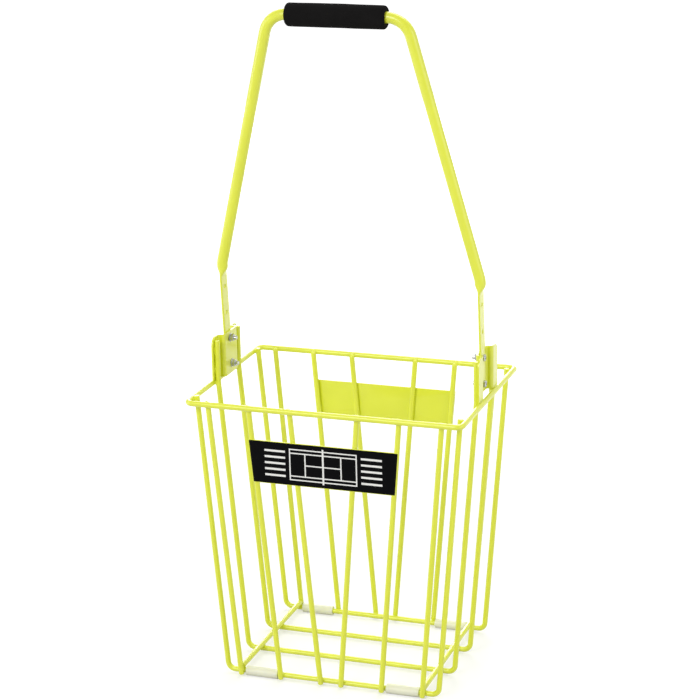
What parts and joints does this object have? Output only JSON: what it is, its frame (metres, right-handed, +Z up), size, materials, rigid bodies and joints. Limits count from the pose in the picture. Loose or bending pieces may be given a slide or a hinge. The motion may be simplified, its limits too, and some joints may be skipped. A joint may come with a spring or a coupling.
{
  "type": "ball pick-up basket",
  "caption": "Tapered welded-wire basket that picks balls up through its floor wires, with plastic foot sleeves and a tall tubular bail handle that tilts on side brackets.",
  "frame": {"origin": "on the ground, under the middle of the rim", "axes": "+Z up, +X to the right along the long side of the rim, -Y out of the front wall with the label plate"},
  "size_m": [0.3424, 0.2444, 0.8108],
  "materials": {
    "powder_coat": "gloss yellow powder coat on steel wire, tube and sheet",
    "label_plate": "powder-coated steel plate covered by a black plastic label",
    "foam_grip": "matt black foam rubber",
    "foot_sleeve": "off-white flexible plastic",
    "zinc_hardware": "bright zinc plate"
  },
  "bodies": {
    "basket": {"rim_ring": "powder_coat", "side_wire_1": "powder_coat", "side_wire_2": "powder_coat", "side_wire_3": "powder_coat", "side_wire_4": "powder_coat", "floor_rod_left": "powder_coat", "floor_rod_right": "powder_coat", "front_wire_1": "powder_coat", "front_wire_2": "powder_coat", "front_wire_3": "powder_coat", "front_wire_4": "powder_coat", "front_wire_5": "powder_coat", "front_wire_6": "powder_coat", "rear_wire_1": "powder_coat", "rear_wire_2": "powder_coat", "rear_wire_3": "powder_coat", "rear_wire_4": "powder_coat", "rear_wire_5": "powder_coat", "rear_wire_6": "powder_coat", "front_plate": "label_plate", "rear_plate": "powder_coat", "foot_front_left": "foot_sleeve", "foot_front_right": "foot_sleeve", "foot_rear_left": "foot_sleeve", "foot_rear_right": "foot_sleeve", "bracket_left": "powder_coat", "bracket_right": "powder_coat", "pivot_bolt_left": "zinc_hardware", "pivot_bolt_right": "zinc_hardware", "pivot_washer_left": "zinc_hardware", "pivot_washer_right": "zinc_hardware", "pivot_nut_left": "zinc_hardware", "pivot_nut_right": "zinc_hardware"},
    "handle": {"handle_tube": "powder_coat", "grip": "foam_grip", "clamp_bolt_left": "zinc_hardware", "clamp_bolt_right": "zinc_hardware", "clamp_washer_left": "zinc_hardware", "clamp_washer_right": "zinc_hardware", "clamp_nut_left": "zinc_hardware", "clamp_nut_right": "zinc_hardware"}
  },
  "joints": [
    {"name": "handle_tilt", "type": "hinge", "parent": "basket", "child": "handle", "pos_m": [0, 0, 0.36395], "axis": [1, 0, 0], "range_deg": [-16, 6]}
  ]
}
